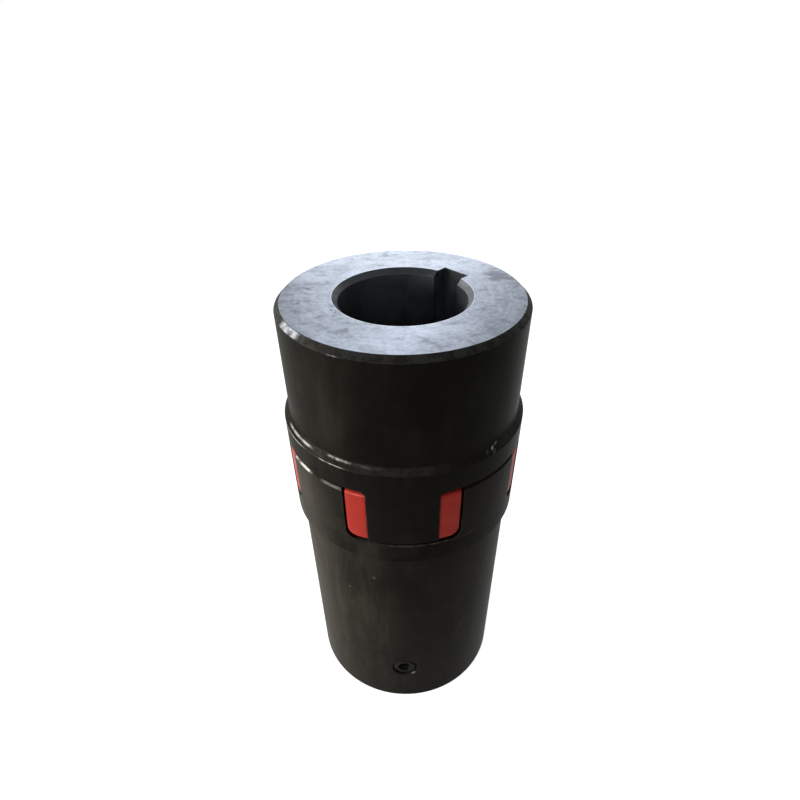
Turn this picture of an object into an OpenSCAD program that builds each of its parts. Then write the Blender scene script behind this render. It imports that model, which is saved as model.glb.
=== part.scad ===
// Jaw coupling for two shafts, with an elastic spider between its two hubs.
// Millimetres. The origin is the centre of the lower end face, and +Z is the shaft axis.
// An azimuth of 0 points along -Y, and 90 along +X.

/* [Hubs] */
// Outer diameter of the barrels
hub_d = 62; // [58:0.5:63]
// Outer diameter of the flanges and of the claws that stand on them
jaw_d = 65; // [64:0.5:67]
// Length of the lower hub, from its end face to the floor between its claws
low_len = 80.8; // [60:0.1:120]
// Length of the upper hub, from its end face to the floor between its claws
up_len = 37; // [30:0.1:80]
// Height of the lower hub's flange
low_flange_h = 6.3; // [4:0.1:9]
// Height of the upper hub's flange
up_flange_h = 6.6; // [4:0.1:9]
// Height of the sloping shoulder between a flange and its barrel
shoulder_h = 1.7; // [0.8:0.1:3]
// Chamfer round the upper end face
top_chamfer = 1.35; // [0.3:0.05:2]
// Chamfer round the lower end face
base_chamfer = 0.8; // [0.3:0.05:2]
// Chamfer round the rims where the hubs meet, and round the tips of the claws
rim_chamfer = 0.5; // [0.2:0.05:0.8]

/* [Bores] */
// Bore of the lower hub
low_bore_d = 38; // [30:0.25:38]
// Bore of the upper hub
up_bore_d = 31.75; // [20:0.25:34]
// Chamfer at the outer mouth of each bore
bore_chamfer = 1.27; // [0.4:0.01:2]
// Width of the lower keyway
low_key_w = 10; // [6:0.5:12]
// Width of the upper keyway
up_key_w = 7.94; // [5:0.01:10]
// Depth of the lower keyway, measured across the bore from the far wall
low_key_t = 41.3; // [40.2:0.1:41.5]
// Depth of the upper keyway, measured across the bore from the far wall
up_key_t = 35.5; // [34.2:0.1:36]

/* [Claws] */
// Distance between the two hubs' floors, which the spider fills
face_gap = 17.2; // [17:0.1:22]
// Length of the claws
claw_len = 16.8; // [14:0.1:16.9]
// Diameter inside the ring of claws
claw_in_d = 38.4; // [38:0.1:42]
// Radius of the fillet at the root of the lower claws' flanks
low_root = 2.4; // [0.5:0.1:3.4]
// Radius of the fillet at the root of the upper claws' flanks
up_root = 0.8; // [0.3:0.1:1.5]
// Angle by which the flanks of the upper claws are trimmed and those of the lower claws left full
claw_skew = 0.55; // [0:0.05:1]
// Mean play between a claw's flank and the lobe beside it
claw_play = 0.25; // [0.24:0.01:0.6]

/* [Spider] */
// Gap between the lobes' outer faces and the claws' outer diameter, on each side
lobe_inset = 0.2; // [0.1:0.05:1]
// Hole through the middle of the spider
spider_hole_d = 30; // [24:0.5:34]
// Height of the lobes
spider_h = 15.6; // [12:0.1:16.5]
// Height of the ring that joins the lobes
web_h = 12; // [8:0.5:14]
// Gap between that ring and the inside of the claws
web_gap = 0.3; // [0.1:0.05:1]
// Greatest width of a lobe
lobe_w = 10; // [8:0.1:10.5]
// Radius from the shaft axis at which a lobe is widest
lobe_at = 24.2; // [23.5:0.1:25]
// Radius of a lobe's bulging flanks
flank_r = 16.5; // [15:0.5:20]
// Angle by which each lobe leans from the middle of its gap towards the upper hub's claw
lobe_lean = 0.45; // [0:0.05:0.45]
// Radius of the lobe corners that clear the roots of the lower claws
low_corner = 2.8; // [2:0.1:4]
// Radius of the lobe corners that clear the roots of the upper claws
up_corner = 0.8; // [0.3:0.1:2]
// Chamfer along the other edges of a lobe's flanks
lobe_chamfer = 0.4; // [0.2:0.05:0.8]
// Chamfer round the outer edges of the lobes
lobe_rim = 0.4; // [0.3:0.1:1.5]
// Diameter of the spacer pads on the lobes
pad_d = 3.6; // [2:0.1:5]
// Radius from the shaft axis at which the pads stand
pad_at = 25; // [23:0.5:27]

/* [Set screws] */
// Thread diameter of both screws
screw_d = 8; // [6:1:8]
// Length of the lower screw
low_screw_len = 8; // [6:0.5:8]
// Length of the upper screw
up_screw_len = 10; // [6:0.5:10.5]
// Depth of the lower screw's face below the barrel
low_sink = 0.5; // [0.3:0.1:3]
// Depth of the upper screw's face below the barrel
up_sink = 0.8; // [0.3:0.1:3]
// Height of the lower screw above the lower end face
low_screw_z = 18.2; // [10:0.1:60]
// Depth of the upper screw below the upper end face
up_screw_t = 18; // [8:0.5:22]
// Width across the flats of the screws' hexagon socket
socket_w = 4; // [2:0.5:4]
// Depth of that socket
socket_depth = 4; // [2:0.5:4]
// Depth of the hollow in the screws' cup point
cup_depth = 1; // [0.5:0.1:1.5]
// Chamfer round the face of a screw
face_chamfer = 0.8; // [0.3:0.1:1.2]
// Play between a screw and its hole, all round
screw_play = 0.05; // [0.02:0.01:0.1]
// Countersink at the mouth of a screw hole
mouth_chamfer = 0.45; // [0.1:0.05:0.8]

/* [Hidden] */
$fn = 96;
steel = "#3b362f";
rubber = "#b83a30";
screw_steel = "#6a665e";

claws = 4;                      // claws on each hub
claw_step = 360 / claws;
lobe_step = claw_step / 2;      // a lobe fills each gap between claws of the two hubs
over = 1;                       // how far a cutter runs past the face that it cuts
claw_foot = 2;                  // how far a claw reaches down inside its flange

hub_r = hub_d / 2;
jaw_r = jaw_d / 2;
low_face = low_len;             // floor between the lower hub's claws
up_face = low_face + face_gap;  // floor between the upper hub's claws
top_z = up_face + up_len;

up_claw_az = 0;                 // azimuth of a claw of the upper hub
low_claw_az = lobe_step;        // azimuth of a claw of the lower hub
low_key_az = 0;                 // a keyway lies midway between two claws of its own hub
up_key_az = 3 * lobe_step;
low_key_reach = low_key_t - low_bore_d / 2;
up_key_reach = up_key_t - up_bore_d / 2;

flank_off = flank_r - lobe_w / 2;
pad_h = (face_gap - spider_h) / 2;
web_d = claw_in_d - 2 * web_gap;
spider_d = jaw_d - 2 * lobe_inset;

hole_r = screw_d / 2 + screw_play;
cup_r = screw_d / 4;

// Turns children that point along +X to another azimuth
module to_azimuth(az) {
    rotate([0, 0, az - 90]) children();
}

// Moves a disc to where its rim is one flank of the lobe that points along +X:
// side 1 is the flank of greater azimuth, side -1 the other one
module on_flank(side) {
    translate([lobe_at, -side * flank_off, 0]) children();
}

// A round bar that stands on z = 0, with a chamfer at each end
module chamfered_bar(d, h, low_ch, top_ch) {
    r = d / 2;
    rotate_extrude()
        polygon([[0, 0], [r - low_ch, 0], [r, low_ch], [r, h - top_ch], [r - top_ch, h], [0, h]]);
}

// Barrel, shoulder and flange of a hub, with its end face on z = 0 and the flange on top
module hub_blank(len, flange_h, end_ch) {
    shoulder_z = len - flange_h;
    rotate_extrude()
        polygon([[0, 0], [hub_r - end_ch, 0], [hub_r, end_ch], [hub_r, shoulder_z - shoulder_h],
                 [jaw_r, shoulder_z], [jaw_r, len - rim_chamfer], [jaw_r - rim_chamfer, len], [0, len]]);
}

// Clear space beside a claw's flank, above a floor at z = 0, with the root fillet left standing
module flank_space(root) {
    r = flank_r + claw_play;
    inner_r = r - root;
    below = claw_foot + over;
    height = claw_len + over;
    rotate_extrude() {
        translate([0, -below]) square([inner_r, below + height]);
        translate([0, root]) square([r, height - root]);
        translate([inner_r, root]) circle(r = root);
    }
}

// Clear space between two claws of one hub, centred on +X, with its flanks skewed outwards
module claw_gap(root, skew) {
    below = claw_foot + over;
    for (side = [-1, 1])
        intersection() {
            rotate([0, 0, side * (lobe_step / 2 + skew)]) on_flank(side) flank_space(root);
            translate([0, side > 0 ? -over : over - jaw_d, -below])
                cube([jaw_d, jaw_d, below + claw_len + over]);
        }
}

// The claws of a hub, on a floor at z = 0, one of them at azimuth 0
module claw_ring(root, skew) {
    difference() {
        translate([0, 0, -claw_foot]) chamfered_bar(jaw_d, claw_foot + claw_len, 0, rim_chamfer);
        translate([0, 0, -claw_foot - over]) cylinder(d = claw_in_d, h = claw_foot + claw_len + 2 * over);
        for (i = [0 : claws - 1])
            to_azimuth(claw_step * (i + 1 / 2)) claw_gap(root, skew);
    }
}

// Bore with its chamfered mouth at z = 0, and a keyway that points along +X
module keyed_bore(d, len, key_w, key_reach) {
    mouth = bore_chamfer + over;
    translate([0, 0, -over]) cylinder(d = d, h = len + 2 * over);
    translate([0, 0, -over]) cylinder(d1 = d + 2 * mouth, d2 = d, h = mouth);
    translate([0, -key_w / 2, -over]) cube([key_reach, key_w, len + 2 * over]);
}

// Hole for a set screw along +X, from the bore out through the barrel
module screw_hole() {
    mouth = mouth_chamfer + over;
    rotate([0, 90, 0]) {
        cylinder(r = hole_r, h = hub_r + over);
        translate([0, 0, hub_r - mouth_chamfer]) cylinder(r1 = hole_r, r2 = hole_r + mouth, h = mouth);
    }
}

// A whole hub with its end face on z = 0 and its claws upwards
module hub(len, flange_h, end_ch, bore_d, key_w, key_reach, key_az, claw_az, screw_z, root, skew) {
    difference() {
        union() {
            hub_blank(len, flange_h, end_ch);
            translate([0, 0, len]) rotate([0, 0, claw_az]) claw_ring(root, skew);
        }
        translate([0, 0, len - over]) cylinder(d = bore_d, h = claw_len + 2 * over);
        to_azimuth(key_az) {
            keyed_bore(bore_d, len, key_w, key_reach);
            translate([0, 0, screw_z]) screw_hole();
        }
    }
}

module lower_hub() {
    color(steel)
        hub(low_len, low_flange_h, base_chamfer, low_bore_d, low_key_w, low_key_reach,
            low_key_az, low_claw_az, low_screw_z, low_root, -claw_skew);
}

module upper_hub() {
    color(steel)
        translate([0, 0, top_z]) mirror([0, 0, 1])
            hub(up_len, up_flange_h, top_chamfer, up_bore_d, up_key_w, up_key_reach,
                up_key_az, up_claw_az, up_screw_t, up_root, claw_skew);
}

// Disc whose rim makes one flank of a lobe: its top edge has a round corner, its lower one a chamfer
module lobe_disc(c) {
    rotate_extrude()
        difference() {
            polygon([[0, 0], [flank_r - lobe_chamfer, 0], [flank_r, lobe_chamfer],
                     [flank_r, spider_h], [0, spider_h]]);
            translate([flank_r - c, spider_h - c])
                difference() {
                    square(c + over);
                    circle(r = c);
                }
        }
}

// One lobe along +X, standing on z = 0: up_side is the side of the upper hub's claw
module lobe(up_side) {
    intersection() {
        on_flank(up_side) lobe_disc(up_corner);
        on_flank(-up_side) translate([0, 0, spider_h]) mirror([0, 0, 1]) lobe_disc(low_corner);
        chamfered_bar(spider_d, spider_h, lobe_rim, lobe_rim);
    }
    for (z = [-pad_h, spider_h - over])
        translate([pad_at, 0, z]) cylinder(d = pad_d, h = pad_h + over);
}

module spider() {
    color(rubber)
        translate([0, 0, low_face + pad_h])
            difference() {
                union() {
                    translate([0, 0, (spider_h - web_h) / 2]) cylinder(d = web_d, h = web_h);
                    for (i = [0 : claws - 1], side = [-1, 1])
                        to_azimuth(up_claw_az + claw_step * i
                                   + side * (lobe_step / 2 - claw_skew - lobe_lean))
                            lobe(-side);
                }
                translate([0, 0, -over]) cylinder(d = spider_hole_d, h = spider_h + 2 * over);
            }
}

// A socket set screw along +X, with its cup point at x = 0
module set_screw(len) {
    tip_chamfer = screw_d / 2 - cup_r - screw_d / 16;
    rotate([0, 90, 0])
        difference() {
            chamfered_bar(screw_d, len, tip_chamfer, face_chamfer);
            translate([0, 0, len - socket_depth])
                cylinder(d = socket_w / cos(30), h = socket_depth + over, $fn = 6);
            translate([0, 0, -over])
                cylinder(r1 = cup_r * (1 + over / cup_depth), r2 = 0, h = cup_depth + over);
        }
}

module lower_set_screw() {
    color(screw_steel)
        to_azimuth(low_key_az)
            translate([hub_r - low_sink - low_screw_len, 0, low_screw_z]) set_screw(low_screw_len);
}

module upper_set_screw() {
    color(screw_steel)
        to_azimuth(up_key_az)
            translate([hub_r - up_sink - up_screw_len, 0, top_z - up_screw_t]) set_screw(up_screw_len);
}

lower_hub();
upper_hub();
spider();
lower_set_screw();
upper_set_screw();
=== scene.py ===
import math

import bpy
import bmesh
import numpy as np
from mathutils import Matrix, Vector


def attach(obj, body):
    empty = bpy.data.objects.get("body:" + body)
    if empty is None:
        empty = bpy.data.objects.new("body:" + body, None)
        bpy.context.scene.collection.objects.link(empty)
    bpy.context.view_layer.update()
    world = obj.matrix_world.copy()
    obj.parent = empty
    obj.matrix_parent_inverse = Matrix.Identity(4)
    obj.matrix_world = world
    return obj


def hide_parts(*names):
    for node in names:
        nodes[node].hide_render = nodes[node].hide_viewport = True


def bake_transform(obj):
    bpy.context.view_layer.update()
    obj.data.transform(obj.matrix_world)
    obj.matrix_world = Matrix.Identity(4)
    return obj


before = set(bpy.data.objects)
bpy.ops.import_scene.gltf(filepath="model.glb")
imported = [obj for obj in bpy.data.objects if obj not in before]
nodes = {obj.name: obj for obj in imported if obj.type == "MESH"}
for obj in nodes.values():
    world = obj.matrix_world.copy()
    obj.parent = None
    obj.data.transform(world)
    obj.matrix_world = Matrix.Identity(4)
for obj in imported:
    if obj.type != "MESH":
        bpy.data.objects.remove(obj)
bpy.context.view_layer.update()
scene = bpy.context.scene

MM = 0.001

# ---------------------------------------------------------------- sizes, as in part.scad

# heights in mm above the base, radii in mm from the shaft axis
TOP_Z = 135.0
UPPER_RIM_Z = 98.0
LOWER_RIM_Z = 80.8
HUB_R = 31.0
CLAW_R = 32.5
# the upper hub's bore has a chamfered mouth, and its keyway lies outside the bore's radius
BORE_CHAMFER_Z = 133.7
BORE_MOUTH_R = 17.3
KEYWAY_FROM_R = 16.3
# every face inside these radii belongs to a bore, its chamfer or its keyway
UPPER_BORE_REACH = 20.3
LOWER_BORE_REACH = 23.0
RIM_MARGIN = 0.05
# the set screws: heights, and the upper one's azimuth from -Y towards +X
LOWER_SCREW_Z = 18.2
UPPER_SCREW_Z = 117.0
UPPER_SCREW_AZ = 135

# ---------------------------------------------------------------- shader nodes


def new_material(name):
    """An empty material with a Principled shader: material, node tree and shader."""
    mat = bpy.data.materials.new(name)
    mat.use_nodes = True
    tree = mat.node_tree
    tree.nodes.clear()
    out = tree.nodes.new("ShaderNodeOutputMaterial")
    shader = tree.nodes.new("ShaderNodeBsdfPrincipled")
    tree.links.new(shader.outputs["BSDF"], out.inputs["Surface"])
    return mat, tree, shader


def put(tree, socket, value):
    """Sets a socket to a number or colour, or links it to another socket."""
    if isinstance(value, bpy.types.NodeSocket):
        tree.links.new(value, socket)
    elif isinstance(value, tuple) and socket.type == "RGBA":
        socket.default_value = (*value, 1.0)
    else:
        socket.default_value = value


def here_on(tree):
    """The object's own coordinates in metres."""
    return tree.nodes.new("ShaderNodeTexCoord").outputs["Object"]


def stretched(tree, scale, offset=(0, 0, 0)):
    """The object's own coordinates, scaled and moved."""
    mapping = tree.nodes.new("ShaderNodeMapping")
    mapping.inputs["Scale"].default_value = scale
    mapping.inputs["Location"].default_value = offset
    tree.links.new(here_on(tree), mapping.inputs["Vector"])
    return mapping.outputs["Vector"]


def noise(tree, vector, scale, detail, rough=0.55, distort=0.0):
    """Noise from 0 to 1, with its scale per metre."""
    node = tree.nodes.new("ShaderNodeTexNoise")
    node.inputs["Scale"].default_value = scale
    node.inputs["Detail"].default_value = detail
    node.inputs["Roughness"].default_value = rough
    node.inputs["Distortion"].default_value = distort
    tree.links.new(vector, node.inputs["Vector"])
    return node.outputs["Fac"]


def fit(tree, value, low, high, to_low=0.0, to_high=1.0, smooth=True):
    """Stretches the range from low to high to another range and clamps what is outside."""
    node = tree.nodes.new("ShaderNodeMapRange")
    node.interpolation_type = "SMOOTHSTEP" if smooth else "LINEAR"
    put(tree, node.inputs["Value"], value)
    node.inputs["From Min"].default_value = low
    node.inputs["From Max"].default_value = high
    node.inputs["To Min"].default_value = to_low
    node.inputs["To Max"].default_value = to_high
    return node.outputs["Result"]


def fit_mm(tree, value, low, high, to_low=0.0, to_high=1.0, smooth=True):
    """fit() for a length, with low and high in mm."""
    return fit(tree, value, low * MM, high * MM, to_low, to_high, smooth)


def maths(tree, operation, *values):
    """The result of a Math node."""
    node = tree.nodes.new("ShaderNodeMath")
    node.operation = operation
    for socket, value in zip(node.inputs, values):
        put(tree, socket, value)
    return node.outputs[0]


def times(tree, first, *others):
    """The product of sockets and numbers."""
    result = first
    for other in others:
        result = maths(tree, "MULTIPLY", result, other)
    return result


def plus(tree, total, value, weight):
    """A total with a weighed value added to it."""
    return maths(tree, "MULTIPLY_ADD", value, weight, total)


def most(tree, masks):
    """The largest of several masks."""
    result = masks[0]
    for mask in masks[1:]:
        result = maths(tree, "MAXIMUM", result, mask)
    return result


def layered(tree, layers):
    """The sum of noises, each stretched between two of its values and weighed."""
    total = 0.0
    for value, low, high, weight in layers:
        total = plus(tree, total, fit(tree, value, low, high), weight)
    return total


def blend_colour(tree, share, first, second):
    """The first colour at share 0, the second at share 1."""
    node = tree.nodes.new("ShaderNodeMix")
    node.data_type = "RGBA"
    factor_socket, first_socket, second_socket = node.inputs[0], node.inputs[6], node.inputs[7]
    put(tree, factor_socket, share)
    put(tree, first_socket, first)
    put(tree, second_socket, second)
    return node.outputs[2]


def radius_and_height(tree):
    """The distance from the shaft axis and the height above the base, in metres."""
    split = tree.nodes.new("ShaderNodeSeparateXYZ")
    tree.links.new(here_on(tree), split.inputs[0])
    x, y, z = split.outputs
    square = maths(tree, "ADD", times(tree, x, x), times(tree, y, y))
    return maths(tree, "SQRT", square), z


def vector_maths(tree, operation, *values):
    """A Vector Math node, because its result is in one of two outputs."""
    node = tree.nodes.new("ShaderNodeVectorMath")
    node.operation = operation
    for socket, value in zip(node.inputs, values):
        put(tree, socket, value)
    return node


def rings(tree, radius, scale, detail):
    """Noise along the radius, for turning marks on a face."""
    join = tree.nodes.new("ShaderNodeCombineXYZ")
    tree.links.new(radius, join.inputs[0])
    return noise(tree, join.outputs[0], scale, detail)


def bump(tree, height, depth, normal=None):
    """A bumped normal, with its depth in mm."""
    node = tree.nodes.new("ShaderNodeBump")
    node.inputs["Distance"].default_value = depth * MM
    tree.links.new(height, node.inputs["Height"])
    if normal is not None:
        tree.links.new(normal, node.inputs["Normal"])
    return node.outputs["Normal"]


def rounded(tree, radius):
    """The normal of the surface with its edges rounded, with the radius in mm."""
    node = tree.nodes.new("ShaderNodeBevel")
    node.samples = 6
    node.inputs["Radius"].default_value = radius * MM
    return node.outputs["Normal"]


def edge_wear(tree, radius):
    """0 on open surfaces and 1 along edges: how far the rounded normal turns there."""
    plain = tree.nodes.new("ShaderNodeNewGeometry")
    dot = vector_maths(tree, "DOT_PRODUCT", rounded(tree, radius), plain.outputs["Normal"])
    return fit(tree, maths(tree, "SUBTRACT", 1.0, dot.outputs["Value"]), 0.03, 0.16)


# ---------------------------------------------------------------- masks


def on_barrel(azimuth, height, radius):
    """A point on a cylinder about the shaft axis: degrees from -Y towards +X, and mm."""
    turn = math.radians(azimuth)
    return (radius * math.sin(turn), -radius * math.cos(turn), height)


def near(tree, point, inner, outer):
    """1 within one distance of a point of the surface, 0 beyond another, all in mm."""
    gap = vector_maths(tree, "DISTANCE", here_on(tree), [v * MM for v in point])
    return fit_mm(tree, gap.outputs["Value"], inner, outer, 1.0, 0.0)


def towards(tree, azimuth, low, high):
    """1 on the side that faces an azimuth: from 0 at low to 1 at high, mm from the shaft axis."""
    turn = math.radians(azimuth)
    dot = vector_maths(tree, "DOT_PRODUCT", here_on(tree), (math.sin(turn), -math.cos(turn), 0))
    return fit_mm(tree, dot.outputs["Value"], low, high)


def stroke(tree, start, end, inner, outer):
    """1 along a line between two points in mm, fading out beside it."""
    foot = Vector(start) * MM
    whole = Vector(end) * MM - foot
    from_foot = vector_maths(tree, "SUBTRACT", here_on(tree), foot).outputs["Vector"]
    dot = vector_maths(tree, "DOT_PRODUCT", from_foot, whole / whole.length_squared)
    share = tree.nodes.new("ShaderNodeClamp")
    tree.links.new(dot.outputs["Value"], share.inputs["Value"])
    nearest = vector_maths(tree, "SCALE", whole)
    tree.links.new(share.outputs["Result"], nearest.inputs["Scale"])
    gap = vector_maths(tree, "DISTANCE", from_foot, nearest.outputs["Vector"])
    return fit_mm(tree, gap.outputs["Value"], inner, outer, 1.0, 0.0)


def band(tree, value, low, high, soft):
    """1 between two lengths in mm, fading to 0 over the soft length outside them."""
    rise = fit_mm(tree, value, low - soft, low)
    fall = fit_mm(tree, value, high, high + soft, 1.0, 0.0)
    return times(tree, rise, fall)


def glints(tree, marks, height):
    """Painted highlights: bright strips at given heights, each faded out around one place."""
    found = []
    for low, high, soft, azimuth, radius, inner, outer, strength in marks:
        strip = band(tree, height, low, high, soft)
        spot = near(tree, on_barrel(azimuth, (low + high) / 2, radius), inner, outer)
        found.append(times(tree, strip, spot, strength))
    return most(tree, found)


# ---------------------------------------------------------------- materials

# noises: scale per metre, detail, roughness and, where it has one, distortion
OXIDE_CLOUD = (45, 5, 0.62, 0.6)
OXIDE_STREAK = (170, 5, 0.68, 0.5)
OXIDE_FINE = (1100, 3, 0.7)
OXIDE_MARKS = (5200, 2, 0.5)
WEAR_BREAKS = (190, 4, 0.7)
STRIP_PATCHES = (420, 4, 0.7)
FACE_CLOUD = (70, 5, 0.65, 0.3)
FACE_BLOT = (230, 6, 0.68, 0.2)
FACE_GRAIN = (1300, 3, 0.7)
FACE_TURNING = (900, 3)
FACE_MARKS = (4200, 2)
BORE_CLOUD = (160, 4, 0.6, 0.6)
BORE_MARKS = (3800, 2, 0.5)
RED_CLOUD = (140, 4, 0.6)
RED_BREAKS = (500, 3, 0.6)
RED_GRAIN = (2600, 2, 0.5)
# scales that make noise run round the shaft axis as turning marks do, stretch it along the
# axis, and flatten the blots on the face
TURNED = (0.02, 0.02, 1)
TALL = (1, 1, 0.22)
FLATTENED = (1, 1.6, 1)
FLATTENED_AT = (0.3, 0.1, 0)

# how much of the dust and painted light is left on the side away from it, and how much its own side
# gains
AWAY_SHARE = 0.40
SIDE_DUST_AND_LIGHT = 0.25
# worn edges: how far they reach in mm, and how much steel they show
WEAR_REACH = 0.35
WEAR_SHARE = 0.10

# bare steel at worn edges and in the painted highlights on the oxide: warm on the lower parts, cool
# near the bare face with the tint of daylight
WEAR_AND_GLINT_WARM = (0.56, 0.555, 0.54)
WEAR_AND_GLINT_COOL = (0.54, 0.57, 0.63)
COOL_FROM_Z = 120.0
COOL_FULL_Z = 125.0
# the share of dust and painted light stays between these
DUST_AND_LIGHT_LEAST = -0.15
DUST_AND_LIGHT_MOST = 1.2
# a painted sheen on the outermost part of the lower hub's paler side: degrees past it, reach in mm,
# colour
FAR_TURN = 8
FAR_REACH = (22, 31)
FAR_SHEEN_COLOUR = (0.094, 0.087, 0.073)


def oxide_steel(name, base, pale_and_lit, metal, level, rough, dust_and_light, tones=(), strips=(), spots=(),
                strokes=(), scratch_glints=(), far_sheen=0.0):
    """Blackened steel: nearly black, with lighter smudges, edge wear and small bright marks, most
    of them painted highlights.

    The argument after rough gives the paler side's azimuth and the reach in mm of its fade; its
    lighter colour is partly smudges on the oxide and partly painted light, on the side that the
    lamps face. far_sheen paints a sheen on the outermost part of that side, paler still.
    """
    mat, tree, shader = new_material(name)
    here = here_on(tree)
    height = radius_and_height(tree)[1]
    cloud = noise(tree, here, *OXIDE_CLOUD)
    streak = noise(tree, stretched(tree, TALL), *OXIDE_STREAK)
    fine = noise(tree, here, *OXIDE_FINE)
    share = layered(tree, ((cloud, 0.36, 0.66, 0.46), (streak, 0.40, 0.66, 0.40),
                           (fine, 0.3, 0.75, 0.14)))
    # the paler side: partly smudges, partly painted light on the side that the lamps face
    side = towards(tree, *dust_and_light)
    share = times(tree, share, fit(tree, side, 0, 1, AWAY_SHARE, 1.0, smooth=False))
    share = plus(tree, share, side, SIDE_DUST_AND_LIGHT)
    for low, high, soft, change in tones:
        share = plus(tree, share, band(tree, height, low, high, soft), change)
    for start, end, inner, outer, change in strokes:
        line = stroke(tree, start, end, inner, outer)
        share = plus(tree, share, times(tree, line, fit(tree, streak, 0.36, 0.55)), change)
    share = maths(tree, "MAXIMUM", share, DUST_AND_LIGHT_LEAST)
    share = maths(tree, "MINIMUM", share, DUST_AND_LIGHT_MOST)
    colour = blend_colour(tree, fit(tree, share, DUST_AND_LIGHT_LEAST, DUST_AND_LIGHT_MOST, smooth=False), base, pale_and_lit)
    # a painted sheen along the outermost part of the paler side
    if far_sheen:
        far_sheen_mask = towards(tree, dust_and_light[0] - FAR_TURN, *FAR_REACH)
        far_sheen_mask = times(tree, far_sheen_mask, fit(tree, streak, 0.36, 0.6, 0.6, 1.0), far_sheen)
        colour = blend_colour(tree, far_sheen_mask, colour, FAR_SHEEN_COLOUR)

    # where bare steel shows at worn edges, and the painted highlights: the strips, and some spots
    # and scratches
    broken = fit(tree, noise(tree, here, *WEAR_BREAKS), 0.40, 0.60)
    wear_and_glints = [times(tree, edge_wear(tree, WEAR_REACH), broken, WEAR_SHARE)]
    if strips:
        patchy = fit(tree, noise(tree, here, *STRIP_PATCHES), 0.36, 0.58, 0.25, 1.0)
        wear_and_glints.append(times(tree, glints(tree, strips, height), patchy))
    for point, inner, outer, strength in spots:
        wear_and_glints.append(times(tree, near(tree, point, inner, outer), strength))
    for start, end, inner, outer, strength in scratch_glints:
        wear_and_glints.append(times(tree, stroke(tree, start, end, inner, outer), strength))
    wear_and_glints = most(tree, wear_and_glints)
    cool = fit_mm(tree, height, COOL_FROM_Z, COOL_FULL_Z)
    bright = blend_colour(tree, cool, WEAR_AND_GLINT_WARM, WEAR_AND_GLINT_COOL)
    put(tree, shader.inputs["Base Color"], blend_colour(tree, wear_and_glints, colour, bright))
    put(tree, shader.inputs["Metallic"], fit(tree, wear_and_glints, 0, 0.3, metal, 0.95, smooth=False))
    put(tree, shader.inputs["Roughness"], fit(tree, share, 0, 1, rough - 0.03, rough + 0.08))
    shader.inputs["Specular IOR Level"].default_value = level
    shader.inputs["Specular Tint"].default_value = (0.4, 0.4, 0.39, 1)
    marks = noise(tree, stretched(tree, TURNED), *OXIDE_MARKS)
    put(tree, shader.inputs["Normal"], bump(tree, marks, 0.004, rounded(tree, 0.30)))
    return mat


# stains of the bare face: place, full within, gone beyond
FACE_STAINS = (
    ((-12.2, -18.8, TOP_Z), 0.5, 4.4),
    ((-18.5, -14.5, TOP_Z), 0.5, 5.2),
    ((-3.8, 26.1, TOP_Z), 0.5, 5.0),
    ((-23.5, 3.5, TOP_Z), 1.0, 8.0),
    ((-19.5, 14.5, TOP_Z), 0.5, 7.0),
    ((24.5, 10.5, TOP_Z), 0.5, 9.0),
    ((6.0, -24.0, TOP_Z), 0.5, 5.0),
)
# its pits: place, full within, gone beyond
FACE_PITS = (
    ((-16.3, -8.9, TOP_Z), 0.15, 0.5),
    ((-15.3, -9.9, TOP_Z), 0.1, 0.36),
    ((-15.0, -3.0, TOP_Z), 0.05, 0.3),
    ((3.4, 28.6, TOP_Z), 0.1, 0.4),
)
# its sides that are darker and duller, partly stained and partly painted shade where the face
# reflects less light: azimuth, from and to in mm, change
FACE_STAINED_AND_SHADED_SIDES = ((72, 8, 26, 0.38), (-85, 18, 28, 0.16))
# painted highlights along its rims: inner and outer radius, strength
FACE_RIM_HIGHLIGHTS = ((17.0, 17.28, 1.0), (29.52, 29.8, 0.2))
RIM_HIGHLIGHT_COLOUR = (0.62, 0.66, 0.72)
PIT_COLOUR = (0.02, 0.022, 0.027)


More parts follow.
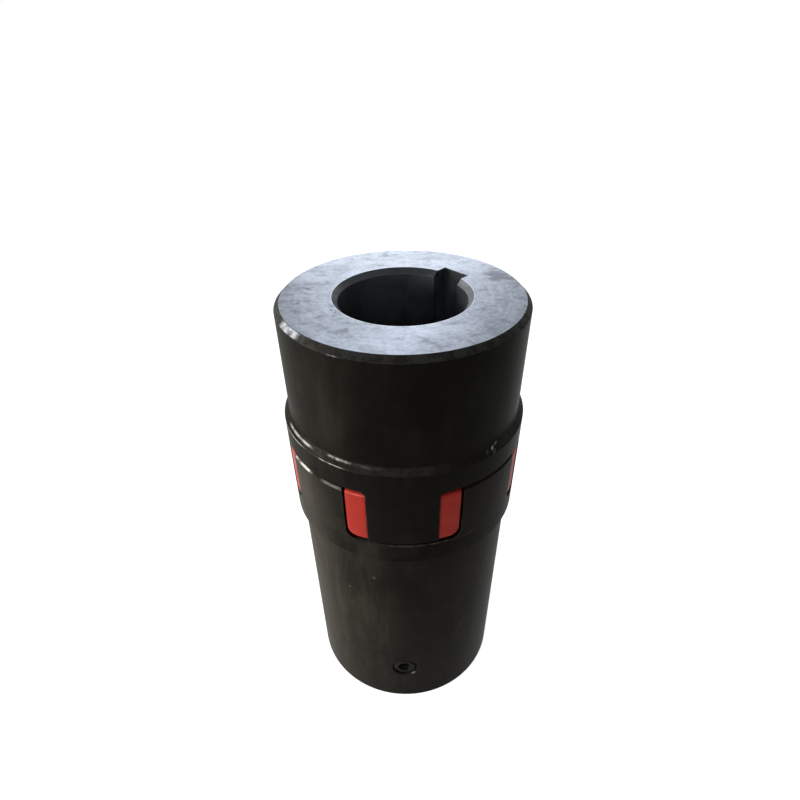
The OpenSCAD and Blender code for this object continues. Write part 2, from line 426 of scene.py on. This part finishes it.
def bare_face(name, clean, stained, rough):
    """A faced end: turning marks, cloudy grey stains, sides darker with stains and painted shade,
    small pits and painted highlights along its rims.
    """
    mat, tree, shader = new_material(name)
    here = here_on(tree)
    radius = radius_and_height(tree)[0]
    cloud = noise(tree, here, *FACE_CLOUD)
    blot = noise(tree, stretched(tree, FLATTENED, FLATTENED_AT), *FACE_BLOT)
    grain = noise(tree, here, *FACE_GRAIN)
    turned = rings(tree, radius, *FACE_TURNING)
    share = layered(tree, ((cloud, 0.38, 0.66, 0.25), (blot, 0.47, 0.70, 0.46),
                           (grain, 0.38, 0.66, 0.28), (turned, 0.35, 0.7, 0.12)))
    stains = most(tree, [near(tree, *stain) for stain in FACE_STAINS])
    stains = times(tree, stains, fit(tree, blot, 0.36, 0.62, 0.0, 0.95))
    share = maths(tree, "MAXIMUM", share, stains)
    # the left and right sides darker: partly stain, partly painted shade
    for azimuth, low, high, change in FACE_STAINED_AND_SHADED_SIDES:
        share = plus(tree, share, towards(tree, azimuth, low, high), change)
    share = maths(tree, "MINIMUM", share, 1.0)
    colour = blend_colour(tree, share, clean, stained)
    # painted highlights along the bore's edge and the outer edge of the face
    rims = [times(tree, band(tree, radius, low, high, 0.06), strength)
            for low, high, strength in FACE_RIM_HIGHLIGHTS]
    colour = blend_colour(tree, times(tree, most(tree, rims), 0.35), colour, RIM_HIGHLIGHT_COLOUR)
    pits = most(tree, [near(tree, *pit) for pit in FACE_PITS])
    colour = blend_colour(tree, times(tree, pits, 0.9), colour, PIT_COLOUR)
    put(tree, shader.inputs["Base Color"], colour)
    shader.inputs["Metallic"].default_value = 1.0
    shader.inputs["Anisotropic"].default_value = 0.7
    put(tree, shader.inputs["Roughness"], fit(tree, share, 0, 1, rough, rough + 0.10))
    tangent = tree.nodes.new("ShaderNodeTangent")
    tangent.direction_type = "RADIAL"
    tangent.axis = "Z"
    tree.links.new(tangent.outputs["Tangent"], shader.inputs["Tangent"])
    put(tree, shader.inputs["Normal"], bump(tree, rings(tree, radius, *FACE_MARKS), 0.006))
    return mat


# the keyway grows paler downwards between these heights in mm
KEYWAY_PALE_Z = (117, 133)
BORE_LIT = (0.42, 0.44, 0.50)
BORE_SHADED = (0.022, 0.024, 0.028)
BORE_WALL = (0.25, 0.285, 0.325)
KEYWAY_DEEP = (0.36, 0.42, 0.48)


def bored_steel(name, clean, stained, rough):
    """Bored steel: painted light on the right wall near the top, painted shade on the chamfer at
    its back and beside the keyway, the keyway paler below.
    """
    mat, tree, shader = new_material(name)
    radius, height = radius_and_height(tree)
    cloud = noise(tree, here_on(tree), *BORE_CLOUD)
    share = fit(tree, cloud, 0.35, 0.7)
    colour = blend_colour(tree, share, clean, stained)
    # painted light on the right wall of the bore, near its top
    bright = times(tree, near(tree, on_barrel(78, 130, 15.9), 3, 17), 0.36)
    colour = blend_colour(tree, bright, colour, BORE_LIT)
    high_up = fit_mm(tree, height, BORE_CHAMFER_Z - 0.1, BORE_CHAMFER_Z + 0.1)
    in_mouth = fit_mm(tree, radius, BORE_MOUTH_R - 0.1, BORE_MOUTH_R + 0.1, 1.0, 0.0)
    chamfer = times(tree, high_up, in_mouth)
    back = times(tree, towards(tree, -160, 6, 13), 0.83)
    beside = times(tree, towards(tree, 115, 12, 17), 0.66)
    shaded = times(tree, most(tree, [back, beside]), chamfer)
    colour = blend_colour(tree, shaded, colour, BORE_SHADED)
    wall = maths(tree, "SUBTRACT", 1.0, chamfer)
    colour = blend_colour(tree, times(tree, wall, 0.22), colour, BORE_WALL)
    keyway = times(tree, fit_mm(tree, radius, KEYWAY_FROM_R - 0.2, KEYWAY_FROM_R + 0.2), wall)
    deep = fit_mm(tree, height, *KEYWAY_PALE_Z, 0.55, 0.0, smooth=False)
    deep = times(tree, deep, keyway)
    colour = blend_colour(tree, deep, colour, KEYWAY_DEEP)
    put(tree, shader.inputs["Base Color"], colour)
    shader.inputs["Metallic"].default_value = 1.0
    put(tree, shader.inputs["Roughness"], fit(tree, share, 0, 1, rough, rough + 0.1))
    marks = noise(tree, stretched(tree, TURNED), *BORE_MARKS)
    put(tree, shader.inputs["Normal"], bump(tree, marks, 0.008, rounded(tree, 0.25)))
    return mat


RED = (0.52, 0.034, 0.022)
RED_CLOUDED = (0.46, 0.028, 0.018)
RED_LIT_ABOVE_EDGE = (0.86, 0.065, 0.050)
RED_EDGE_HIGHLIGHT = (0.90, 0.20, 0.16)
RED_SHEEN = (0.28, 0.12, 0.11)
RED_SHADE = (0.10, 0.035, 0.035)


def rubber(name, edge):
    """Red elastomer: on the left painted lighter above the lobes' upper edge with a painted
    highlight on it; a painted sheen far left, painted shade far right.
    """
    mat, tree, shader = new_material(name)
    here = here_on(tree)
    radius, height = radius_and_height(tree)
    cloud = noise(tree, here, *RED_CLOUD)
    colour = blend_colour(tree, fit(tree, cloud, 0.3, 0.7), RED, RED_CLOUDED)
    # painted light on the lobes' tops at the left, and a painted highlight along their upper edge
    left = towards(tree, -60, 4, 22)
    lit_above_edge = times(tree, fit_mm(tree, height, edge - 0.1, edge + 0.2), left)
    colour = blend_colour(tree, lit_above_edge, colour, RED_LIT_ABOVE_EDGE)
    outer = times(tree, fit_mm(tree, radius, 31.8, 32.1), left)
    line = times(tree, band(tree, height, edge - 0.1, edge + 0.05, 0.12), outer)
    broken = fit(tree, noise(tree, here, *RED_BREAKS), 0.35, 0.6, 0.35, 0.8)
    colour = blend_colour(tree, times(tree, line, broken), colour, RED_EDGE_HIGHLIGHT)
    # a painted sheen at the far left, and painted shade at the far right
    pale_and_lit = times(tree, towards(tree, -75, 26, 31), 0.30)
    colour = blend_colour(tree, pale_and_lit, colour, RED_SHEEN)
    painted_shade = times(tree, towards(tree, 75, 26, 31), 0.40)
    colour = blend_colour(tree, painted_shade, colour, RED_SHADE)
    put(tree, shader.inputs["Base Color"], colour)
    shader.inputs["Specular IOR Level"].default_value = 0.18
    put(tree, shader.inputs["Roughness"], fit(tree, cloud, 0.3, 0.7, 0.5, 0.6))
    put(tree, shader.inputs["Normal"], bump(tree, noise(tree, here, *RED_GRAIN), 0.01))
    return mat


# tones: low, high, fade in mm, change
# painted light: the upper chamfer and shoulder, which face upwards, are painted lighter
UPPER_PAINTED_LIGHT_BANDS = ((133.70, 134.9, 0.15, 0.50), (104.70, 106.2, 0.20, 0.30))
LOWER_TONES = ((73.6, 80.6, 0.4, -0.22),)
# painted highlights, as strips: low, high, fade in mm, azimuth, radius, full within, gone beyond,
# strength
UPPER_GLINT_STRIPS = (
    (104.42, 104.62, 0.10, -61, 32.4, 5.0, 8.5, 0.55),
    (104.42, 104.62, 0.10, -33, 32.4, 2.2, 5.5, 0.34),
    (104.44, 104.60, 0.08, -45, 32.4, 9.0, 20.0, 0.10),
    (105.40, 105.66, 0.18, -56, 31.7, 3.8, 7.6, 0.60),
    (104.90, 106.10, 0.15, -43, 31.6, 2.5, 8.0, 0.035),
    (105.72, 106.02, 0.12, -29, 31.4, 1.8, 4.6, 0.42),
    (105.60, 106.02, 0.15, -19, 31.4, 2.0, 8.0, 0.08),
    (104.80, 106.10, 0.15, -3, 31.8, 8.0, 16.0, 0.024),
    (104.80, 106.20, 0.15, 64, 31.8, 5.0, 13.0, 0.026),
    (133.85, 134.75, 0.25, -55, 30.4, 2.3, 5.4, 0.80),
    (133.70, 134.95, 0.10, -62, 30.4, 7.0, 20.0, 0.09),
    (133.70, 134.95, 0.10, 68, 30.4, 3.0, 14.0, 0.07),
    (133.50, 133.68, 0.10, -27, HUB_R, 0.8, 2.2, 0.22),
    (133.72, 134.92, 0.10, 12, 30.4, 18.0, 28.0, 0.034),
)
LOWER_GLINT_STRIPS = (
    (97.15, 97.48, 0.12, -54, 32.3, 3.2, 5.2, 0.85),
    (96.95, 97.45, 0.15, -33, 32.3, 2.0, 4.6, 0.17),
    (80.42, 80.60, 0.08, 14, CLAW_R, 8, 20, 0.075),
)
# strokes: start, end, full within, gone beyond in mm, change
UPPER_STROKES = (
    (on_barrel(-48.0, 101, CLAW_R), on_barrel(-30, 101, CLAW_R), 1.5, 4.0, 0.24),
    (on_barrel(-38.0, 128, HUB_R), on_barrel(-37, 118, HUB_R), 1.0, 5.0, 0.16),
)
LOWER_STROKES = (
    (on_barrel(-27.5, 65, HUB_R), on_barrel(-26, 52, HUB_R), 0.1, 1.1, 0.30),
    (on_barrel(-10.0, 50, HUB_R), on_barrel(-10, 36, HUB_R), 0.1, 0.9, 0.20),
    (on_barrel(-38.0, 48, HUB_R), on_barrel(-33, 14, HUB_R), 1.0, 7.0, 0.22),
    (on_barrel(-18.0, 55, HUB_R), on_barrel(-19, 42, HUB_R), 0.5, 4.0, 0.20),
    (on_barrel(-42.0, 58, HUB_R), on_barrel(-38, 48, HUB_R), 2.0, 7.0, 0.12),
    (on_barrel(-2.5, 77, 32.3), on_barrel(-2.5, 90, 32.3), 1.0, 6.0, -0.16),
    (on_barrel(37.5, 38, HUB_R), on_barrel(31.5, 31.5, HUB_R), 0.2, 1.3, 0.45),
    (on_barrel(56.0, 44, HUB_R), on_barrel(44, 36, HUB_R), 0.1, 1.0, 0.26),
    (on_barrel(44.0, 36, HUB_R), on_barrel(29, 27, HUB_R), 0.1, 0.9, 0.22),
)
# scratches and glints: start, end, full within, gone beyond in mm, strength
# a nick on the shoulder, its marks painted bright as glints
UPPER_NICK_GLINTS = (
    (on_barrel(47.4, 106.3, 31.0), on_barrel(45.6, 106.0, 31.3), 0.05, 0.34, 0.16),
    (on_barrel(44.0, 105.9, 31.4), on_barrel(43.2, 105.6, 31.6), 0.08, 0.40, 0.30),
    (on_barrel(44.4, 105.2, 32.0), on_barrel(43.3, 104.9, 32.3), 0.10, 0.60, 0.07),
    (on_barrel(40.4, 105.7, 31.5), on_barrel(39.8, 105.4, 31.8), 0.10, 0.60, 0.05),
)
# a painted highlight beside the lower screw, on the lower right edge of its hole
LOWER_HOLE_GLINT = (
    (on_barrel(4.5, 14.7, HUB_R), on_barrel(6.2, 15.5, HUB_R), 0.05, 0.36, 0.24),
)
# spots: place, full within, gone beyond in mm, strength
LOWER_SPOTS = (
    (on_barrel(-15.7, 64.4, HUB_R), 0.10, 0.8, 0.12),
    (on_barrel(-31.1, 56.4, HUB_R), 0.10, 0.7, 0.09),
    (on_barrel(45.5, 57.5, HUB_R), 0.10, 0.5, 0.12),
    (on_barrel(53.8, 59.5, HUB_R), 0.15, 0.8, 0.10),
    # a painted highlight on the lower right edge of the lower screw's hole
    (on_barrel(5.2, 14.9, HUB_R), 0.25, 0.8, 0.10),
    (on_barrel(-61, 89, CLAW_R), 1.0, 9.0, 0.02),
)
# painted light: the floor of each screw's socket painted lighter, and a painted highlight on the
# lit side of the lower screw's face
SCREW_PAINTED_LIGHT = (
    (on_barrel(0, LOWER_SCREW_Z, 26.5), 3.4, 4.5, 0.14),
    (on_barrel(UPPER_SCREW_AZ, UPPER_SCREW_Z, 26.2), 3.4, 4.5, 0.14),
    (on_barrel(-5.4, 19.0, 30.5), 0.4, 2.0, 0.022),
)

dark_upper = oxide_steel(
    "dark_oxide_upper", (0.0040, 0.0037, 0.0035), (0.0240, 0.0224, 0.0172),
    metal=0.22, level=0.02, rough=0.42, dust_and_light=(-80, 11, 24), tones=UPPER_PAINTED_LIGHT_BANDS,
    strips=UPPER_GLINT_STRIPS, strokes=UPPER_STROKES, scratch_glints=UPPER_NICK_GLINTS)
dark_lower = oxide_steel(
    "dark_oxide_lower", (0.0040, 0.0034, 0.0029), (0.0430, 0.0392, 0.0312),
    metal=0.12, level=0.018, rough=0.46, dust_and_light=(-68, 5, 24), tones=LOWER_TONES,
    strips=LOWER_GLINT_STRIPS, spots=LOWER_SPOTS, strokes=LOWER_STROKES, scratch_glints=LOWER_HOLE_GLINT,
    far_sheen=0.50)
screw_steel = oxide_steel(
    "screw_oxide", (0.006, 0.0056, 0.005), (0.022, 0.021, 0.018),
    metal=0.2, level=0.05, rough=0.42, dust_and_light=(-80, 11, 24), spots=SCREW_PAINTED_LIGHT)
bare = bare_face("bare_turned_face", (0.31, 0.34, 0.405), (0.13, 0.147, 0.18), 0.30)
bored = bored_steel("bored_steel", (0.085, 0.090, 0.105), (0.05, 0.052, 0.06), 0.38)
red = rubber("red_elastomer_moulded", edge=96.8)

# ---------------------------------------------------------------- mesh helpers


def dress(piece, mat):
    """Gives a piece one material."""
    piece.data.materials.clear()
    piece.data.materials.append(mat)


def copy_of(node, name):
    """A new object with a copy of a node's mesh."""
    piece = bpy.data.objects.new(name, node.data.copy())
    scene.collection.objects.link(piece)
    return piece


def rows_of(collection, attribute):
    """A 3-D value of every polygon or vertex, one row each."""
    flat = np.empty(len(collection) * 3)
    collection.foreach_get(attribute, flat)
    return flat.reshape(-1, 3)


def smooth_shade(mesh):
    mesh.polygons.foreach_set("use_smooth", np.ones(len(mesh.polygons), dtype=bool))


# ---------------------------------------------------------------- hubs

BORED_SLOT = 1
BARE_SLOT = 2
# a face this level is an end face, and no bore or chamfer
LEVEL = 0.99


def split_hub(node_name, name, dark, bore_reach, low, high, bare_end):
    """The hub's own piece: dark outside, bored steel inside and, where it has one, a bare face."""
    piece = copy_of(nodes[node_name], name)
    dress(piece, dark)
    piece.data.materials.append(bored)
    piece.data.materials.append(bare)
    middles = rows_of(piece.data.polygons, "center") / MM
    up = rows_of(piece.data.polygons, "normal")[:, 2]
    radius = np.hypot(middles[:, 0], middles[:, 1])
    height = middles[:, 2]
    slot = np.zeros(len(middles), dtype=np.int32)
    inside = (radius < bore_reach) & (height > low) & (height < high)
    slot[inside & (np.abs(up) < LEVEL)] = BORED_SLOT
    if bare_end:
        slot[(height > high - 0.01) & (up > LEVEL)] = BARE_SLOT
    piece.data.polygons.foreach_set("material_index", slot)
    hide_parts(node_name)
    return piece


upper = split_hub("upper_hub", "upper_hub_turned", dark_upper, UPPER_BORE_REACH,
                  UPPER_RIM_Z + RIM_MARGIN, TOP_Z, bare_end=True)
lower = split_hub("lower_hub", "lower_hub_turned", dark_lower, LOWER_BORE_REACH,
                  0, LOWER_RIM_Z - RIM_MARGIN, bare_end=False)
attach(upper, "upper")
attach(lower, "lower")

# ---------------------------------------------------------------- spider

VOXEL_MM = 0.42
SMOOTH_ROUNDS = 4
# a lobe is bounded by two arcs: its middle from the shaft axis, its width, the arcs' radius and
# its azimuth from the middle of the nearest upper claw
LOBE_AT_MM = 24.2
LOBE_W_MM = 10.0
FLANK_R_MM = 16.5
LOBE_AZ = 21.5
# the ring inside the lobes ends here, and passes into them over the fade
RING_R_MM = 17.0
RING_FADE_MM = 3.0
CLAW_STEP = 90


def apply_modifiers(piece):
    """Replaces a piece's mesh by what its modifiers make of it."""
    depsgraph = bpy.context.evaluated_depsgraph_get()
    mesh = bpy.data.meshes.new_from_object(piece.evaluated_get(depsgraph))
    piece.modifiers.clear()
    piece.data = mesh


spider = copy_of(nodes["spider"], "spider_moulded")
remesh = spider.modifiers.new("remesh", "REMESH")
remesh.mode = "VOXEL"
remesh.voxel_size = VOXEL_MM * MM
soften = spider.modifiers.new("soften", "SMOOTH")
soften.factor = 0.5
soften.iterations = SMOOTH_ROUNDS
apply_modifiers(spider)
smooth_shade(spider.data)
dress(spider, red)
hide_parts("spider")


def follow_share(points):
    """1 where the spider follows the upper claws, 0 where it follows the lower ones."""
    x, y = points[:, 0] / MM, points[:, 1] / MM
    azimuth = np.degrees(np.arctan2(x, -y)) % CLAW_STEP
    folded = np.where(azimuth > CLAW_STEP / 2, CLAW_STEP - azimuth, azimuth)
    radius = np.hypot(x, y)
    turn = np.radians(folded - LOBE_AZ)
    along, across = radius * np.cos(turn), radius * np.sin(turn)
    reach = np.clip(np.abs(along - LOBE_AT_MM), 0, FLANK_R_MM - 1)
    half = np.sqrt(FLANK_R_MM**2 - reach**2) - (FLANK_R_MM - LOBE_W_MM / 2)
    lobe = 0.5 - 0.5 * np.clip(across / np.maximum(half, 0.5), -1, 1)
    ring = 1 - folded / (CLAW_STEP / 2)
    share = np.clip((radius - RING_R_MM) / RING_FADE_MM, 0, 1)
    share = share * share * (3 - 2 * share)
    return ring + (lobe - ring) * share


# ---------------------------------------------------------------- set screws

AROUND = 72
ROWS_PER_MM = 14
THREAD_PITCH_MM = 1.25
THREAD_R_MM = 4.0
THREAD_DEPTH_MM = 0.72
# of half a pitch: the flat crest, and the flank down to the root
THREAD_CREST = 0.14
THREAD_FLANK = 0.62
THREAD_END_MM = 0.06
FACE_CHAMFER_MM = 0.55
FACE_EDGE_MM = 0.05
TIP_CHAMFER_MM = 1.5
CUP_R_MM = 2.0
CUP_DEPTH_MM = 1.0
CUP_LIP_MM = 0.08
SOCKET_W_MM = 4.0
SOCKET_DEPTH_MM = 4.0
SOCKET_CHAMFER_MM = 0.12
SOCKET_MOUTH = 1.07
DRILL_CONE_MM = 0.6


def thread_radius(z, turn):
    """Radius of the thread at a height in mm and a turn in radians."""
    phase = (z / THREAD_PITCH_MM - turn / (2 * math.pi)) % 1.0
    flank = abs(phase - 0.5) * 2
    share = min(max((flank - THREAD_CREST) / THREAD_FLANK, 0), 1)
    return THREAD_R_MM - THREAD_DEPTH_MM * share


def threaded_row(z, length):
    """Radius and height around the thread, cut off by the chamfers of both ends."""
    row = []
    for k in range(AROUND):
        r = thread_radius(z, 2 * math.pi * k / AROUND)
        r = min(r, THREAD_R_MM - TIP_CHAMFER_MM + z, THREAD_R_MM - FACE_CHAMFER_MM + (length - z))
        row.append((r, z))
    return row


def hexagon_row(z, grow):
    """Radius and height around the hexagon socket."""
    row = []
    for k in range(AROUND):
        off_flat = math.radians((360 * k / AROUND) % 60 - 30)
        row.append((grow * SOCKET_W_MM / 2 / math.cos(off_flat), z))
    return row


def round_row(r, z):
    return [(r, z)] * AROUND


def screw_rows(length):
    """The screw's outline from the middle of its cup point to the middle of its socket."""
    floor_z = length - SOCKET_DEPTH_MM
    rows = [
        round_row(0.0, CUP_DEPTH_MM),
        round_row(CUP_R_MM * 0.5, CUP_DEPTH_MM * 0.5),
        round_row(CUP_R_MM - CUP_LIP_MM, CUP_LIP_MM),
        round_row(CUP_R_MM + CUP_LIP_MM, 0.0),
    ]
    steps = int(length * ROWS_PER_MM)
    for i in range(steps + 1):
        z = THREAD_END_MM + (length - 2 * THREAD_END_MM) * i / steps
        rows.append(threaded_row(z, length))
    rows.append(round_row(THREAD_R_MM - FACE_CHAMFER_MM - FACE_EDGE_MM, length))
    rows.append(hexagon_row(length, SOCKET_MOUTH))
    rows.append(hexagon_row(length - SOCKET_CHAMFER_MM, 1.0))
    rows.append(hexagon_row(floor_z, 1.0))
    rows.append(round_row(SOCKET_W_MM * 0.42, floor_z - 0.05))
    rows.append(round_row(0.0, floor_z - DRILL_CONE_MM))
    return rows


def set_screw(name, length):
    """A socket set screw along +Z with its point at z = 0, its length in mm."""
    bm = bmesh.new()
    loops = []
    for row in screw_rows(length):
        if row[0][0] == 0.0:
            loops.append([bm.verts.new((0, 0, row[0][1] * MM))] * AROUND)
            continue
        loop = []
        for k, (r, z) in enumerate(row):
            turn = 2 * math.pi * k / AROUND
            loop.append(bm.verts.new((r * math.cos(turn) * MM, r * math.sin(turn) * MM, z * MM)))
        loops.append(loop)
    for low, high in zip(loops, loops[1:]):
        for k in range(AROUND):
            n = (k + 1) % AROUND
            # where a row is one point, the four corners make a triangle
            corners = dict.fromkeys((low[k], low[n], high[n], high[k]))
            bm.faces.new(list(corners))
    bmesh.ops.recalc_face_normals(bm, faces=bm.faces)
    mesh = bpy.data.meshes.new(name)
    bm.to_mesh(mesh)
    bm.free()
    piece = bpy.data.objects.new(name, mesh)
    scene.collection.objects.link(piece)
    return piece


def aim(piece, point, direction):
    """Turns a piece's mesh from +Z to a direction and moves its foot to a point."""
    turn = Vector(direction).to_track_quat("Z", "Y").to_matrix().to_4x4()
    piece.data.transform(Matrix.Translation(Vector(point)) @ turn)


# node, body, length, how deep it is sunk, azimuth, height; lengths in mm
SCREWS = (
    ("lower_set_screw", "lower_screw", 8.0, 0.5, 0, LOWER_SCREW_Z),
    ("upper_set_screw", "upper_screw", 10.0, 0.8, UPPER_SCREW_AZ, UPPER_SCREW_Z),
)
SHARP_EDGE = math.radians(35)
for node_name, body, length, sink, azimuth, height in SCREWS:
    piece = set_screw(node_name + "_threaded", length)
    foot = Vector(on_barrel(azimuth, height, HUB_R - sink - length)) * MM
    aim(piece, foot, on_barrel(azimuth, 0, 1))
    smooth_shade(piece.data)
    piece.data.set_sharp_from_angle(angle=SHARP_EDGE)
    dress(piece, screw_steel)
    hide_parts(node_name)
    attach(piece, body)

# ---------------------------------------------------------------- floor, world and lamps

FLOOR_R_M = 6.0
FLOOR_GREY = 0.5
FLOOR_GLOW = 0.93
AMBIENT = 0.2
WHITE = (1, 1, 1)


def seen_rays(tree):
    """1 for the rays that show the background, so that its white lights nothing."""
    path = tree.nodes.new("ShaderNodeLightPath")
    return most(tree, [path.outputs["Is Camera Ray"], path.outputs["Is Glossy Ray"],
                       path.outputs["Is Transmission Ray"]])


floor_mesh = bpy.data.meshes.new("floor")
floor_bm = bmesh.new()
bmesh.ops.create_circle(floor_bm, cap_ends=True, segments=96, radius=FLOOR_R_M)
floor_bm.to_mesh(floor_mesh)
floor_bm.free()
floor = bpy.data.objects.new("floor", floor_mesh)
scene.collection.objects.link(floor)

floor_mat = bpy.data.materials.new("floor_white")
floor_mat.use_nodes = True
tree = floor_mat.node_tree
tree.nodes.clear()
out = tree.nodes.new("ShaderNodeOutputMaterial")
diffuse = tree.nodes.new("ShaderNodeBsdfDiffuse")
put(tree, diffuse.inputs["Color"], (FLOOR_GREY, FLOOR_GREY, FLOOR_GREY))
glow = tree.nodes.new("ShaderNodeEmission")
put(tree, glow.inputs["Color"], WHITE)
put(tree, glow.inputs["Strength"], times(tree, seen_rays(tree), FLOOR_GLOW))
both = tree.nodes.new("ShaderNodeAddShader")
tree.links.new(diffuse.outputs[0], both.inputs[0])
tree.links.new(glow.outputs[0], both.inputs[1])
tree.links.new(both.outputs[0], out.inputs["Surface"])
floor_mesh.materials.append(floor_mat)

world = bpy.data.worlds.new("studio")
scene.world = world
world.use_nodes = True
tree = world.node_tree
tree.nodes.clear()
out = tree.nodes.new("ShaderNodeOutputWorld")
back = tree.nodes.new("ShaderNodeBackground")
put(tree, back.inputs["Color"], WHITE)
put(tree, back.inputs["Strength"], fit(tree, seen_rays(tree), 0, 1, AMBIENT, 1.0, smooth=False))
tree.links.new(back.outputs[0], out.inputs["Surface"])

# all in metres
LAMP_DISTANCE = 0.65
MIDDLE = (0, 0, 0.08)
UPPER_FACE = (0, 0, TOP_Z * MM)
WARM = (1.0, 0.965, 0.88)
DAYLIGHT = (0.90, 0.96, 1.0)
SOFTBOX = (0.35, 0.22)
# name, azimuth from -Y towards +X and elevation in degrees, target, size in metres, watts, colour
LAMPS = (
    ("left_front_softbox", -50, 8, MIDDLE, SOFTBOX, 1.0, WARM),
    ("left_softbox", -75, 8, MIDDLE, SOFTBOX, 2.6, WARM),
    ("left_back_softbox", -130, 35, MIDDLE, SOFTBOX, 1.4, WARM),
    ("window", 180, 22, UPPER_FACE, (0.34, 0.20), 0.40, DAYLIGHT),
)
for name, azimuth, rise, target, size, power, colour in LAMPS:
    turn, lift = math.radians(azimuth), math.radians(rise)
    level_part = math.cos(lift)
    way = Vector((level_part * math.sin(turn), -level_part * math.cos(turn), math.sin(lift)))
    data = bpy.data.lights.new(name, "AREA")
    data.shape = "RECTANGLE"
    data.size, data.size_y = size
    data.energy = power
    data.color = colour
    lamp = bpy.data.objects.new(name, data)
    scene.collection.objects.link(lamp)
    lamp.location = Vector(target) + way * LAMP_DISTANCE
    lamp.rotation_mode = "QUATERNION"
    lamp.rotation_quaternion = (Vector(target) - lamp.location).to_track_quat("-Z", "Y")

# ---------------------------------------------------------------- camera

# the photograph's camera, fitted to the outlines of the object: pixels, radians and millimetres
FOCAL_PX = 554.018
PITCH = 0.69716
ROLL = 0.01561
YAW = -0.00989
DISTANCE_MM = 128.023
HEIGHT_MM = 189.988
CENTRE_Y_PX = 460.0
# where the camera stands round the shaft axis, from -Y towards +X
TURN = math.radians(0.8)
FRAME_PX = 800
SENSOR_MM = 36.0

cos_p, sin_p = math.cos(PITCH), math.sin(PITCH)
forward = Vector((math.sin(YAW) * cos_p, math.cos(YAW) * cos_p, -sin_p))
right = Vector((math.cos(YAW), -math.sin(YAW), 0))
down = forward.cross(right)
camera_x = right * math.cos(ROLL) + down * math.sin(ROLL)
camera_y = right * math.sin(ROLL) - down * math.cos(ROLL)
axes = Matrix((camera_x, camera_y, -forward)).transposed().to_4x4()
stand = Matrix.Translation(Vector((0, -DISTANCE_MM * MM, HEIGHT_MM * MM)))
camera_data = bpy.data.cameras.new("camera")
camera_data.sensor_width = SENSOR_MM
camera_data.lens = FOCAL_PX * SENSOR_MM / FRAME_PX
camera_data.shift_y = (CENTRE_Y_PX - FRAME_PX / 2) / FRAME_PX
camera_data.clip_start = 0.005
camera_data.clip_end = 50
camera = bpy.data.objects.new("camera", camera_data)
scene.collection.objects.link(camera)
camera.matrix_world = Matrix.Rotation(TURN, 4, "Z") @ stand @ axes
scene.camera = camera

scene.view_settings.view_transform = "Standard"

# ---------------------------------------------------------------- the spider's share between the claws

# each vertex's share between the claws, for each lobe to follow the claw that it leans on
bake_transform(spider)
share = follow_share(rows_of(spider.data.vertices, "co"))
